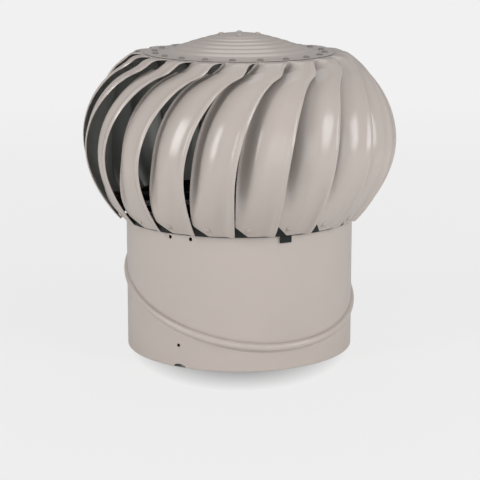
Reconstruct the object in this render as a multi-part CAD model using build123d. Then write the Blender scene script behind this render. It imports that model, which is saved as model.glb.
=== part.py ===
"""Roof turbine ventilator: a swivelling two-piece throat, a fixed spindle and a bladed head that
turns on two ball bearings.

Millimetres, +Z up.  The origin is the centre of the throat's bottom edge.  Azimuths are in degrees
from the front (-Y) towards the right (+X), and the head is described by latitude: 0 at its widest
place, negative towards the foot of the blades and positive towards the cap.
"""

from build123d import *
import math
import os

# --- Throat ---------------------------------------------------------------------------------
throat_radius = 150.0        # outside of both tubes, nominal 300 mm duct
throat_wall = 0.8
throat_top = 196.0           # rim of the upper tube, inside the base ring
hem_height = 24.0            # the lower tube's bottom edge is folded back inside by this much
mitre_height = 89.9          # where the swivel plane crosses the throat's axis
mitre_angle = 20.0           # tilt of the swivel plane
mitre_azimuth = 23.0         # side on which the swivel plane is lowest
flange_width = 8.0           # from the tubes' outside in to the round swivel opening
swivel_gap = 0.3             # between the two flat swivel flanges, and round the neck
hook_width = 4.0             # how far the neck's rolled edge reaches under the lower flange
bead_radius = 4.5            # rolled bead round the mouth of the lower tube
bead_drop = 0.6              # between the swivel plane and the top of the bead
notch_azimuth = -30.5
notch_width = 17.0
notch_depth = 3.0
fixing_hole_radius = 2.3
fixing_hole_height = 29.0
fixing_hole_azimuth = -31.0
upper_hole_radius = 2.5
upper_hole_drop = 27.0       # below the throat's top
upper_hole_azimuths = (-35.5, -24.0)

# --- Brackets that carry the spindle --------------------------------------------------------
bracket_width = 26.0
bracket_sheet = 2.0
bracket_azimuths = (4.4, 94.4)      # lower bar, upper bar
upper_bracket_drop = 7.0            # underside of the upper bar, below the throat's top
bracket_spacing = 39.0              # from one bar's underside to the other's
bracket_rivet_drop = 13.0           # below the throat's top
bracket_seat_gap = 0.05
bracket_end_drop = 14.0             # how far the upper bar's ends turn down
bracket_end_gap = 5.0               # from the lower bar's turned-up ends to the throat's top

# --- Spindle and bearings -------------------------------------------------------------------
spindle_radius = 6.0
spindle_tail = 12.0           # spindle left standing below the lower bar
spindle_chamfer = 1.0
spindle_hole_clearance = 0.2
bearing_radius = 14.0
bearing_width = 8.0
bearing_pitch_radius = 10.0
ball_radius = 2.38
ball_count = 7
groove_clearance = 0.06
race_gap = 1.6                # half the space between the two races, at the pitch radius
race_fit = 0.02               # between a race and what it sits on or in
lower_bearing_rise = 13.0     # underside of the lower bearing, above the upper bar
top_bearing_drop = 20.6       # underside of the top bearing, below the cap's peak
collar_radius = 8.2
collar_height = 3.0
nut_across_flats = 18.0
nut_thickness = 6.0
washer_radius = 12.0
washer_thickness = 1.6
nut_bore_clearance = 0.1
spindle_end = 2.0             # spindle left standing above the top nut

# --- Head -----------------------------------------------------------------------------------
blade_count = 20
blade_sheet = 0.8
head_radius = 207.4           # outline of the head at its widest
belly_rise = 101.5            # from the base ring's bottom edge up to the widest place
tab_rise = 114.0              # from the widest place up to the tabs that the cap's rim lies on
ring_overhang = 13.5          # outline's reach beyond the throat, at the base ring's bottom edge
shoulder_overhang = 17.09295  # and beyond the cap's edge, at the tabs
foot_lift = 1.5               # bottom edge of the blades, above the base ring's
seat_rise = 19.0              # the feet lie flat against the ring this far above its bottom edge
foot_width = 17.8             # degrees between a blade's two edges, at its foot
blade_width = 17.2            # at the widest place
shoulder_width = 16.0         # and at the shoulder
first_edge_azimuth = -74.0    # outer edge of the first blade, at its foot
blade_sweep = 26.0            # degrees that a blade's edge leans over by the shoulder
sweep_start = -40.0           # latitude from which the blade leans
sweep_power = 4
section_count = 10

# Depth of a blade's surface under the head's outline, across the blade from its inner lip to its
# outer edge: lip, lip's fold, top of the ramp, crown, groove, bead, edge.
across = (0.0, 0.09, 0.22, 0.50, 0.80, 0.89, 1.0)
foot_depths = (8.0, 8.0, 8.0, 8.0, 7.0, 3.0, 5.0)
belly_depths = (20.5, 19.0, 9.5, 3.0, 2.5, 0.0, 3.0)
shoulder_depths = (4.0, 3.5, 2.5, 1.5, 1.5, 0.0, 1.5)

corner_cut_width = 16.0       # the foot's inner corner is cut off aslant
corner_cut_height = 15.0
tab_reach = 22.0              # how far the tab reaches in under the cap's rim
tab_rim_azimuth = 31.5        # outer side of the tab where it passes under the cap's edge
tab_tip_azimuth = 37.0        # and at its tip, both from the foot's outer edge
tab_width = 14.5              # degrees

# --- Base ring, its clip and the rivets ------------------------------------------------------
ring_sheet = 1.2
ring_seat_gap = 0.05
ring_drop = 21.5              # ring's bottom edge, below the throat's top
ring_width = 16.5
clip_azimuth = 22.5
clip_width = 16.0
clip_sheet = 1.2
clip_drop = 9.0               # how far the clip hangs below the ring
clip_rise = 6.0               # how far it reaches up behind the ring
rivet_shank_radius = 1.6
rivet_hole_clearance = 0.05
rivet_head_radius = 4.4
rivet_head_height = 2.0
rivet_tail_radius = 2.6
rivet_tail_height = 1.0
rivet_seat_gap = 0.08
foot_rivet_rise = 11.0        # above the ring's bottom edge
foot_rivet_lead = 12.0        # degrees from the foot's outer edge back to its rivet
cap_rivet_inset = 13.4        # from the cap's edge in to its rivets
cap_rivet_azimuth = 33.6      # from the foot's outer edge forward to the cap rivet

# --- Cap ------------------------------------------------------------------------------------
cap_radius = 125.0
cap_sheet = 0.8
cap_rim_width = 27.0          # flat rim that the tabs are riveted under
cap_rise = 26.6               # from the tabs up to the cap's peak
cap_riser_steps = (4.0, 12.0, 11.0, 11.0, 11.0, 13.0)   # from the rim in to each riser's edge
cap_riser_width = 3.5
cap_riser_height = 2.6

# --- Top bearing cup and lower spider --------------------------------------------------------
cup_wall = 1.6
cup_flange_radius = 31.0
cup_rivet_radius = 24.0
cup_rivet_count = 4
cup_seat_gap = 0.1
lip_depth = 3.0               # inward lip that an outer race rests on
hub_flange_radius = 32.0
hub_rivet_radius = 25.0
hub_flange_drop = 3.0         # flange's underside, below the lower bearing
arm_width = 20.0
arm_sheet = 1.6
arm_every = 5                 # an arm goes to every fifth foot rivet
arm_start_radius = 17.5
arm_ring_gap = 0.4
arm_foot_bottom = 181.0
arm_bend = 4.0                # the arm's corner is taken off by this much

# --- Places that follow from the sizes above ---------------------------------------------------
swivel_bore = throat_radius - flange_width          # round opening that the neck turns in
bar_reach = throat_radius - throat_wall - bracket_seat_gap
upper_bracket_height = throat_top - upper_bracket_drop
lower_bracket_height = upper_bracket_height - bracket_spacing
bracket_rivet_height = throat_top - bracket_rivet_drop
upper_hole_height = throat_top - upper_hole_drop
spindle_bottom = lower_bracket_height - spindle_tail
ring_bottom = throat_top - ring_drop
ring_top = ring_bottom + ring_width
foot_height = ring_bottom + foot_lift
foot_rivet_height = ring_bottom + foot_rivet_rise
belly_height = ring_bottom + belly_rise
tab_top = belly_height + tab_rise
cap_top = tab_top + cap_rise
tab_inner_radius = cap_radius - tab_reach
cap_rivet_radius = cap_radius - cap_rivet_inset
lower_bearing_height = upper_bracket_height + bracket_sheet + lower_bearing_rise
top_bearing_height = cap_top - top_bearing_drop
blade_pitch = 360.0 / blade_count
arm_count = blade_count // arm_every

# Semi-heights of the outline's two half ellipses, which bring the feet to the base ring and the
# shoulder to the cap.
foot_drop = belly_rise / math.sqrt(1 - ((throat_radius + ring_overhang) / head_radius) ** 2)
shoulder_rise = tab_rise / math.sqrt(1 - ((cap_radius + shoulder_overhang) / head_radius) ** 2)


def rad(degrees):
    return math.radians(degrees)


def polar(radius, azimuth, height):
    """Point at a radius and azimuth about the spindle."""
    return (radius * math.sin(rad(azimuth)), -radius * math.cos(rad(azimuth)), height)


def turned(shape, azimuth):
    """Shape made at the front (azimuth 0), turned to its azimuth."""
    return Rot(0, 0, azimuth) * shape


def revolve_about_spindle(points):
    """Solid of revolution of a closed (radius, height) outline."""
    outline = Polyline(*[(r, 0, z) for r, z in points], close=True)
    return revolve(make_face(outline), Axis.Z)


def ring(outer, inner, bottom, top):
    """Plain ring about the spindle."""
    height = top - bottom
    tube = Cylinder(outer, height) - Cylinder(inner, height)
    return Pos(0, 0, (bottom + top) / 2) * tube


def side_plane(azimuth=0.0):
    """Plane through the spindle: x outwards, y up."""
    return Plane(origin=(0, 0, 0), x_dir=polar(1, azimuth, 0), z_dir=polar(1, azimuth - 90, 0))


def strap(points, width):
    """Flat strap bent as a (radius, height) outline seen from the side, centred on the front."""
    outline = make_face(side_plane() * Polyline(*points, close=True))
    return extrude(outline, amount=width / 2, both=True)


# --- Throat ---------------------------------------------------------------------------------

def mitre_plane(offset=0.0):
    """Plane parallel to the swivel plane, offset along its normal, centred on the throat's axis."""
    down = polar(1, mitre_azimuth, 0)
    lean = rad(mitre_angle)
    along = (down[0] * math.cos(lean), down[1] * math.cos(lean), -math.sin(lean))
    normal = (down[0] * math.sin(lean), down[1] * math.sin(lean), math.cos(lean))
    centre = (0, 0, mitre_height + offset / math.cos(lean))
    return Plane(origin=centre, x_dir=along, z_dir=normal)


def swivel_disc(radius, bottom, top):
    """Round disc about the swivel's own axis, between two offsets from the swivel plane."""
    plane = mitre_plane().offset(bottom)
    return extrude(plane * Circle(radius), amount=top - bottom)


def throat_slice(bottom, top):
    """Slice of the throat's full round, between two offsets from the swivel plane."""
    bar = Pos(0, 0, throat_top / 2) * Cylinder(throat_radius, 2 * throat_top)
    bar = split(bar, bisect_by=mitre_plane(bottom), keep=Keep.TOP)
    return split(bar, bisect_by=mitre_plane(top), keep=Keep.BOTTOM)


def radial_hole(radius, azimuth, height):
    """Drill through one side of the throat."""
    plane = Plane(origin=polar(throat_radius - 10, azimuth, height), z_dir=polar(1, azimuth, 0))
    return extrude(plane * Circle(radius), amount=20)


def make_lower_throat():
    tube = ring(throat_radius, throat_radius - throat_wall, 0, throat_top)
    tube = split(tube, bisect_by=mitre_plane(), keep=Keep.BOTTOM)
    hem = ring(throat_radius - throat_wall, throat_radius - 2 * throat_wall, 0, hem_height)
    flange = throat_slice(-throat_wall, 0) - swivel_disc(swivel_bore, -10, 10)
    path_plane = mitre_plane(-bead_radius - bead_drop)
    wall_radius = throat_radius - throat_wall / 2
    long_radius = wall_radius / math.cos(rad(mitre_angle))
    path = path_plane * Ellipse(long_radius, wall_radius).edge()
    start = path @ 0
    across_path = Plane(origin=start, x_dir=path_plane.x_dir, z_dir=path % 0)
    corners = [polar(bead_radius, 45 * index, 0) for index in range(5)]
    half_round = make_face(Polyline(*[(x, y) for x, y, _ in corners], close=True))
    bead = sweep(across_path * half_round, path=path)
    notch = Pos(polar(throat_radius, notch_azimuth, 0)) * Rot(0, 0, notch_azimuth) * Box(
        notch_width, 20, 2 * notch_depth)
    hole = radial_hole(fixing_hole_radius, fixing_hole_azimuth, fixing_hole_height)
    return tube + hem + flange + bead - notch - hole


def make_upper_throat():
    tube = ring(throat_radius, throat_radius - throat_wall, 0, throat_top)
    tube = split(tube, bisect_by=mitre_plane(swivel_gap), keep=Keep.TOP)
    neck_radius = swivel_bore - swivel_gap
    hook_top = -throat_wall - swivel_gap
    hook_bottom = hook_top - throat_wall
    flange = throat_slice(swivel_gap, swivel_gap + throat_wall)
    neck = swivel_disc(neck_radius, hook_bottom, swivel_gap + throat_wall)
    hook = swivel_disc(swivel_bore + hook_width, hook_bottom, hook_top)
    passage = swivel_disc(neck_radius - throat_wall, hook_bottom - 1, swivel_gap + 2 * throat_wall)
    body = tube + flange + neck + hook - passage
    for azimuth in upper_hole_azimuths:
        body -= radial_hole(upper_hole_radius, azimuth, upper_hole_height)
    for azimuth in bracket_azimuths:
        for side in (0, 180):
            body -= radial_hole(
                rivet_shank_radius + rivet_hole_clearance, azimuth + side, bracket_rivet_height)
    return body


# --- Brackets and their rivets ----------------------------------------------------------------

def bracket(azimuth, points):
    """Bar across the throat with both ends bent, with holes for the spindle and the rivets."""
    half = strap(points, bracket_width)
    corner = Pos(0, 0, throat_top) * Cylinder(bar_reach, 4 * throat_top)
    bar = (half + turned(half, 180)) & corner
    bar -= Cylinder(spindle_radius + spindle_hole_clearance, 4 * throat_top)
    bar = turned(bar, azimuth)
    for side in (0, 180):
        bar -= radial_hole(
            rivet_shank_radius + rivet_hole_clearance, azimuth + side, bracket_rivet_height)
    return bar


def make_lower_bracket():
    low, high = lower_bracket_height, lower_bracket_height + bracket_sheet
    end = throat_top - bracket_end_gap
    inner = bar_reach - bracket_sheet
    sagitta = bar_reach - math.sqrt(bar_reach ** 2 - (bracket_width / 2) ** 2)
    return bracket(bracket_azimuths[0], [
        (0, low), (bar_reach, low), (bar_reach, end),
        (inner - sagitta, end), (inner - sagitta, high), (0, high)])


def make_upper_bracket():
    low, high = upper_bracket_height, upper_bracket_height + bracket_sheet
    inner = bar_reach - bracket_sheet
    sagitta = bar_reach - math.sqrt(bar_reach ** 2 - (bracket_width / 2) ** 2)
    return bracket(bracket_azimuths[1], [
        (0, high), (bar_reach, high), (bar_reach, high - bracket_end_drop),
        (inner - sagitta, high - bracket_end_drop), (inner - sagitta, low), (0, low)])


def rivet(grip):
    """Domed rivet along +Z: its head on z = 0, its shank going down through the grip."""
    tail_end = -grip - rivet_tail_height
    return revolve_about_spindle([
        (0, rivet_head_height),
        (0.5 * rivet_head_radius, 0.82 * rivet_head_height),
        (0.85 * rivet_head_radius, 0.42 * rivet_head_height),
        (rivet_head_radius, 0),
        (rivet_shank_radius, 0),
        (rivet_shank_radius, -grip),
        (rivet_tail_radius, -grip),
        (rivet_tail_radius, tail_end),
        (0, tail_end),
    ])


def make_bracket_rivets():
    sagitta = bar_reach - math.sqrt(bar_reach ** 2 - (bracket_width / 2) ** 2)
    grip = throat_wall + bracket_seat_gap + bracket_sheet + sagitta + 2 * rivet_seat_gap
    rivets = []
    for azimuth in bracket_azimuths:
        for side in (0, 180):
            seat = polar(throat_radius + rivet_seat_gap, azimuth + side, bracket_rivet_height)
            plane = Plane(origin=seat, z_dir=polar(1, azimuth + side, 0))
            rivets.append(plane * rivet(grip))
    return Compound(rivets)


# --- Spindle, nuts, washers and bearings ---------------------------------------------------------

top_nut_bottom = top_bearing_height + bearing_width + washer_thickness
spindle_top = top_nut_bottom + nut_thickness + spindle_end


def make_spindle():
    length = spindle_top - spindle_bottom
    rod = Pos(0, 0, spindle_bottom + length / 2) * Cylinder(spindle_radius, length)
    return chamfer(rod.edges().filter_by(GeomType.CIRCLE), spindle_chamfer)


def hex_nut(bottom):
    shape = RegularPolygon(nut_across_flats / 2, 6, major_radius=False)
    bore = Circle(spindle_radius + nut_bore_clearance)
    return Pos(0, 0, bottom) * extrude(shape - bore, amount=nut_thickness)


def washer(bottom):
    return ring(
        washer_radius, spindle_radius + nut_bore_clearance, bottom, bottom + washer_thickness)


def make_spindle_nuts():
    nuts = []
    for low in (lower_bracket_height, upper_bracket_height):
        nuts.append(hex_nut(low - washer_thickness - nut_thickness))
    nuts.append(hex_nut(lower_bracket_height + bracket_sheet + washer_thickness))
    nuts.append(hex_nut(top_nut_bottom))
    return Compound(nuts)


def make_spindle_washers():
    washers = []
    for low in (lower_bracket_height, upper_bracket_height):
        washers.append(washer(low - washer_thickness))
    washers.append(washer(lower_bracket_height + bracket_sheet))
    top_washer = ring(
        collar_radius, spindle_radius + nut_bore_clearance,
        top_nut_bottom - washer_thickness, top_nut_bottom)
    washers.append(top_washer)
    return Compound(washers)


def make_spindle_collars():
    """Collars that the two inner races stand on."""
    bore = spindle_radius + race_fit
    return Compound([
        ring(collar_radius, bore, bottom - collar_height, bottom)
        for bottom in (lower_bearing_height, top_bearing_height)])


def race(outer, inner, bottom):
    """One bearing ring with the round groove that the balls run in."""
    groove = Pos(0, 0, bottom + bearing_width / 2) * Torus(
        bearing_pitch_radius, ball_radius + groove_clearance)
    return ring(outer, inner, bottom, bottom + bearing_width) - groove


def make_inner_races():
    return Compound([
        race(bearing_pitch_radius - race_gap, spindle_radius + race_fit, bottom)
        for bottom in (lower_bearing_height, top_bearing_height)])


def make_outer_races():
    return Compound([
        race(bearing_radius, bearing_pitch_radius + race_gap, bottom)
        for bottom in (lower_bearing_height, top_bearing_height)])


def make_balls():
    balls = []
    for bottom in (lower_bearing_height, top_bearing_height):
        for index in range(ball_count):
            centre = polar(bearing_pitch_radius, index * 360 / ball_count, bottom + bearing_width / 2)
            balls.append(Pos(*centre) * Sphere(ball_radius))
    return Compound(balls)


# --- Head's outline and blades -----------------------------------------------------------------

def outline_radius(latitude):
    return head_radius * math.cos(rad(latitude))


def outline_height(latitude):
    rise = shoulder_rise if latitude > 0 else foot_drop
    return belly_height + rise * math.sin(rad(latitude))


def outline_latitude(height):
    rise = shoulder_rise if height > belly_height else foot_drop
    return math.degrees(math.asin((height - belly_height) / rise))


def outline_lean(latitude):
    """Angle in degrees of the outline's normal above the horizontal."""
    rise = shoulder_rise if latitude > 0 else foot_drop
    return math.degrees(math.atan(math.tan(rad(latitude)) * head_radius / rise))


foot_latitude = outline_latitude(foot_height)
seat_latitude = outline_latitude(ring_bottom + seat_rise)
shoulder_latitude = outline_latitude(tab_top)


def ease(x):
    """Smooth step from 0 to 1."""
    x = min(max(x, 0.0), 1.0)
    return x * x * (3 - 2 * x)


def blade_depths(latitude):
    """Depths across the blade, eased from the belly to the foot or to the shoulder."""
    if latitude > 0:
        share = math.sin(rad(90 * latitude / shoulder_latitude)) ** 2
        end = shoulder_depths
    else:
        share = ease(latitude / seat_latitude)
        end = foot_depths
    return [b + (e - b) * share for b, e in zip(belly_depths, end)]


def edge_azimuth(latitude):
    """How far the blade's outer edge has leaned over, slowly at first and then faster."""
    reach = (latitude - sweep_start) / (shoulder_latitude - sweep_start)
    return blade_sweep * reach ** sweep_power


def blade_section(latitude, sheet_share=1.0):
    """Points of a level section, outer side and inner side, from the inner lip to the outer edge."""
    if latitude > 0:
        width = blade_width + (shoulder_width - blade_width) * latitude / shoulder_latitude
    else:
        width = blade_width + (foot_width - blade_width) * latitude / foot_latitude
    edge = edge_azimuth(latitude)
    thickness = blade_sheet / math.cos(rad(outline_lean(latitude)))
    height = outline_height(latitude)
    outer, inner = [], []
    for share, depth in zip(across, blade_depths(latitude)):
        azimuth = edge - width * (1 - share)
        radius = outline_radius(latitude) - depth
        outer.append(polar(radius, azimuth, height))
        inner.append(polar(radius - thickness * sheet_share, azimuth, height))
    return outer, inner


def foot_seat(height, depth=0.0):
    """Radius of the surface that the foot presents, at a height, less a depth along the radius."""
    latitude = outline_latitude(height)
    thickness = depth / math.cos(rad(outline_lean(latitude)))
    return outline_radius(latitude) - foot_depths[0] - thickness


def foot_rivet_plane(depth, azimuth):
    """Plane square to the foot at its rivet, at a depth below the foot's outer face."""
    latitude = outline_latitude(foot_rivet_height)
    lean = rad(outline_lean(latitude))
    radius = outline_radius(latitude) - foot_depths[0] - depth * math.cos(lean)
    height = foot_rivet_height - depth * math.sin(lean)
    outwards = polar(math.cos(lean), azimuth, math.sin(lean))
    return Plane(origin=polar(radius, azimuth, height), z_dir=outwards)


def make_blade():
    """Blade whose foot has its outer edge at azimuth 0."""
    step = (shoulder_latitude - foot_latitude) / (section_count - 1)
    sections = []
    for index in range(section_count):
        outer, inner = blade_section(foot_latitude + step * index)
        sections.append(make_face(Polyline(*outer, *reversed(inner), close=True)))
    panel = loft(sections)

    top_outer, _ = blade_section(shoulder_latitude)
    _, top_middle = blade_section(shoulder_latitude, 0.5)
    tab_points = top_middle + [
        polar(cap_radius, tab_rim_azimuth, tab_top),
        polar(tab_inner_radius, tab_tip_azimuth, tab_top),
        polar(tab_inner_radius, tab_tip_azimuth - tab_width, tab_top),
        polar(cap_radius, tab_rim_azimuth - tab_width, tab_top),
    ]
    tab = extrude(make_face(Polyline(*tab_points, close=True)), amount=blade_sheet, dir=(0, 0, -1))

    corner_azimuth = edge_azimuth(foot_latitude) - foot_width
    corner = Plane(
        origin=polar(foot_seat(foot_height), corner_azimuth, foot_height),
        x_dir=polar(1, corner_azimuth + 90, 0), z_dir=polar(1, corner_azimuth, 0))
    slope = corner_cut_height / corner_cut_width
    triangle = Polyline(
        (-corner_cut_width, corner_cut_height + slope * corner_cut_width),
        (2 * corner_cut_width, -corner_cut_height),
        (-corner_cut_width, -corner_cut_height), close=True)
    cut = extrude(make_face(corner * triangle), amount=40, both=True)

    hole = Circle(rivet_shank_radius + rivet_hole_clearance)
    foot_hole = extrude(foot_rivet_plane(0, -foot_rivet_lead) * hole, amount=8, both=True)
    tab_hole = Pos(*polar(cap_rivet_radius, cap_rivet_azimuth, tab_top)) * extrude(
        hole, amount=8, both=True)
    return panel + tab - cut - foot_hole - tab_hole


# --- Base ring, clip and rivets ------------------------------------------------------------------

def ring_profile(depth, bottom, top, count=4):
    """Heights and radii down a face parallel to the blades' feet."""
    heights = [bottom + (top - bottom) * index / (count - 1) for index in range(count)]
    return [(foot_seat(height, depth), height) for height in heights]


def band(outer_depth, inner_depth, bottom, top):
    """Dished band about the spindle that follows the blades' feet."""
    outer = ring_profile(outer_depth, bottom, top)
    inner = ring_profile(inner_depth, bottom, top)
    return revolve_about_spindle(outer + inner[::-1])


def foot_azimuths():
    return [first_edge_azimuth + blade_pitch * index - foot_rivet_lead for index in range(blade_count)]


ring_outer_depth = blade_sheet + ring_seat_gap
ring_inner_depth = ring_outer_depth + ring_sheet


def make_base_ring():
    body = band(ring_outer_depth, ring_inner_depth, ring_bottom, ring_top)
    hole = Circle(rivet_shank_radius + rivet_hole_clearance)
    drill = extrude(foot_rivet_plane(0, 0) * hole, amount=8, both=True)
    for azimuth in foot_azimuths():
        body -= turned(drill, azimuth)
    return body


def make_ring_clip():
    """Clip that joins the ring's two ends: a strip behind the ring with its tail hanging below."""
    near = ring_inner_depth + ring_seat_gap
    low = ring_bottom - clip_drop
    inner_low = foot_seat(ring_bottom, near + clip_sheet)
    outer_low = foot_seat(ring_bottom, near)
    inner = ring_profile(near + clip_sheet, ring_bottom, ring_bottom + clip_rise, 3)
    outer = ring_profile(near, ring_bottom, ring_bottom + clip_rise, 3)
    outline = [(inner_low, low), (outer_low, low)] + outer + inner[::-1]
    full = revolve_about_spindle(outline)
    wedge = Box(clip_width, 4 * throat_radius, 4 * throat_top)
    front = Pos(0, -2 * throat_radius, 0)
    return turned(full & front * wedge, clip_azimuth)


def make_blade_rivets():
    grip = ring_inner_depth + 2 * rivet_seat_gap
    arm_grip = grip + arm_ring_gap + arm_sheet
    rivets = []
    for index, azimuth in enumerate(foot_azimuths()):
        length = arm_grip if index % arm_every == 0 else grip
        rivets.append(foot_rivet_plane(-rivet_seat_gap, azimuth) * rivet(length))
    return Compound(rivets)


# --- Cap and its rivets --------------------------------------------------------------------------

def riser_radii():
    """Outer edges of the risers, in from the rim as far as the bearing cup's flange."""
    flat = cap_radius - cap_rim_width
    edges = [flat - sum(cap_riser_steps[:count + 1]) for count in range(len(cap_riser_steps))]
    return [edge for edge in edges if edge - cap_riser_width > cup_flange_radius]


def cap_heights():
    """(radius, height) points up the cap's outer face, from its edge to its centre."""
    risers = riser_radii()
    rim_top = tab_top + cap_sheet
    treads = cap_radius - cap_rim_width - cap_riser_width * len(risers)
    tread_rise = cap_top - rim_top - cap_riser_height * len(risers)
    slope = tread_rise / treads
    points = [(cap_radius, rim_top), (cap_radius - cap_rim_width, rim_top)]
    radius, height = points[-1]
    for riser in risers:
        height += slope * (radius - riser)
        points.append((riser, height))
        radius = riser - cap_riser_width
        height += cap_riser_height
        points.append((radius, height))
    points.append((0, height + slope * radius))
    return points


def cap_slope():
    """Slope of the cap's middle cone."""
    (radius, low), (_, high) = cap_heights()[-2:]
    return (high - low) / radius


def make_cap():
    outer = cap_heights()
    inner = [(radius, height - cap_sheet) for radius, height in outer]
    body = revolve_about_spindle(outer + inner[::-1])
    hole = Cylinder(rivet_shank_radius + rivet_hole_clearance, 20)
    for index in range(blade_count):
        azimuth = first_edge_azimuth + blade_pitch * index + cap_rivet_azimuth
        body -= Pos(*polar(cap_rivet_radius, azimuth, tab_top)) * hole
    for index in range(cup_rivet_count):
        azimuth = index * 360 / cup_rivet_count
        body -= Pos(*polar(cup_rivet_radius, azimuth, cap_top)) * hole
    return body


def make_cap_rivets():
    grip = cap_sheet + blade_sheet + 2 * rivet_seat_gap
    seat = tab_top + cap_sheet + rivet_seat_gap
    rivets = []
    for index in range(blade_count):
        azimuth = first_edge_azimuth + blade_pitch * index + cap_rivet_azimuth
        rivets.append(Pos(*polar(cap_rivet_radius, azimuth, seat)) * rivet(grip))
    return Compound(rivets)


# --- Top bearing cup ------------------------------------------------------------------------------

def middle_height(radius, depth):
    """Height under the cap's middle cone."""
    return cap_top - cap_slope() * radius - depth


def make_bearing_cup():
    bore = bearing_radius + race_fit
    wall = bore + cup_wall
    top = cap_sheet + cup_seat_gap
    bottom = top_bearing_height - cup_wall
    body = revolve_about_spindle([
        (cup_flange_radius, middle_height(cup_flange_radius, top)),
        (bore, middle_height(bore, top)),
        (bore, top_bearing_height),
        (bore - lip_depth, top_bearing_height),
        (bore - lip_depth, bottom),
        (wall, bottom),
        (wall, middle_height(wall, top + cup_wall)),
        (cup_flange_radius, middle_height(cup_flange_radius, top + cup_wall)),
    ])
    hole = Cylinder(rivet_shank_radius + rivet_hole_clearance, 40)
    for index in range(cup_rivet_count):
        azimuth = index * 360 / cup_rivet_count
        body -= Pos(*polar(cup_rivet_radius, azimuth, cap_top)) * hole
    return body


def make_cup_rivets():
    slope = math.degrees(math.atan(cap_slope()))
    head_lift = rivet_seat_gap + rivet_head_radius * math.sin(rad(slope))
    grip = cap_sheet + cup_seat_gap + cup_wall + 2 * head_lift
    rivets = []
    for index in range(cup_rivet_count):
        azimuth = index * 360 / cup_rivet_count
        seat = polar(cup_rivet_radius, azimuth, middle_height(cup_rivet_radius, -head_lift))
        rivets.append(Pos(*seat) * rivet(grip))
    return Compound(rivets)


# --- Lower hub and arms ---------------------------------------------------------------------------

hub_flange_bottom = lower_bearing_height - hub_flange_drop
arm_bottom = hub_flange_bottom + cup_wall


def make_lower_hub():
    bore = bearing_radius + race_fit
    wall = bore + cup_wall
    body = revolve_about_spindle([
        (bore, lower_bearing_height + bearing_width + 1),
        (bore, lower_bearing_height),
        (bore - lip_depth, lower_bearing_height),
        (bore - lip_depth, hub_flange_bottom),
        (hub_flange_radius, hub_flange_bottom),
        (hub_flange_radius, arm_bottom),
        (wall, arm_bottom),
        (wall, lower_bearing_height + bearing_width + 1),
    ])
    hole = Cylinder(rivet_shank_radius + rivet_hole_clearance, 20)
    for index in range(arm_count):
        azimuth = foot_azimuths()[index * arm_every]
        body -= Pos(*polar(hub_rivet_radius, azimuth, hub_flange_bottom)) * hole
    return body


def make_arm():
    """Arm at the front, from the hub's flange out over the throat's rim and down inside the ring."""
    near = ring_inner_depth + arm_ring_gap
    lean = rad(outline_lean(outline_latitude(foot_rivet_height)))
    seat = foot_seat(foot_rivet_height, near)
    slope = -math.tan(lean)

    def face(height, depth):
        return seat - depth / math.cos(lean) + (height - foot_rivet_height) * slope

    top = arm_bottom + arm_sheet
    body = strap([
        (arm_start_radius, arm_bottom),
        (face(top - arm_bend, 0) - arm_bend - arm_sheet, arm_bottom),
        (face(arm_bottom - arm_bend, arm_sheet), arm_bottom - arm_bend),
        (face(arm_foot_bottom, arm_sheet), arm_foot_bottom),
        (face(arm_foot_bottom, 0), arm_foot_bottom),
        (face(top - arm_bend, 0), top - arm_bend),
        (face(top - arm_bend, 0) - arm_bend, top),
        (arm_start_radius, top),
    ], arm_width)
    hole = Circle(rivet_shank_radius + rivet_hole_clearance)
    body -= extrude(foot_rivet_plane(0, 0) * hole, amount=12, both=True)
    body -= Pos(*polar(hub_rivet_radius, 0, arm_bottom)) * extrude(hole, amount=8, both=True)
    return body


def make_hub_rivets():
    grip = cup_wall + arm_sheet + 2 * rivet_seat_gap
    seat = arm_bottom + arm_sheet + rivet_seat_gap
    return Compound([
        Pos(*polar(hub_rivet_radius, foot_azimuths()[index * arm_every], seat)) * rivet(grip)
        for index in range(arm_count)])


# --- Write every piece ------------------------------------------------------------------------------

pieces = {
    "lower_throat": make_lower_throat(),
    "upper_throat": make_upper_throat(),
    "lower_bracket": make_lower_bracket(),
    "upper_bracket": make_upper_bracket(),
    "bracket_rivets": make_bracket_rivets(),
    "spindle": make_spindle(),
    "spindle_nuts": make_spindle_nuts(),
    "spindle_washers": make_spindle_washers(),
    "spindle_collars": make_spindle_collars(),
    "bearing_inner_races": make_inner_races(),
    "bearing_outer_races": make_outer_races(),
    "bearing_balls": make_balls(),
    "bearing_cup": make_bearing_cup(),
    "cup_rivets": make_cup_rivets(),
    "cap": make_cap(),
    "cap_rivets": make_cap_rivets(),
    "base_ring": make_base_ring(),
    "ring_clip": make_ring_clip(),
    "blade_rivets": make_blade_rivets(),
    "lower_hub": make_lower_hub(),
    "hub_rivets": make_hub_rivets(),
}

blade = make_blade()
for index in range(blade_count):
    pieces[f"blade_{index + 1:02d}"] = turned(blade, first_edge_azimuth + blade_pitch * index)

arm = make_arm()
for index in range(arm_count):
    pieces[f"spider_arm_{index + 1}"] = turned(arm, foot_azimuths()[index * arm_every])

os.makedirs("parts", exist_ok=True)
for name, piece in pieces.items():
    export_step(piece, f"parts/{name}.step")
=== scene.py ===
"""Roof turbine ventilator: a head of curved blades that the wind turns, on a throat in two parts
that swivel on each other to suit the roof's pitch.

Sizes are in millimetres and go into the meshes in metres.  Azimuths are in degrees from the front
(-Y) towards the right (+X).
"""

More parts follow.
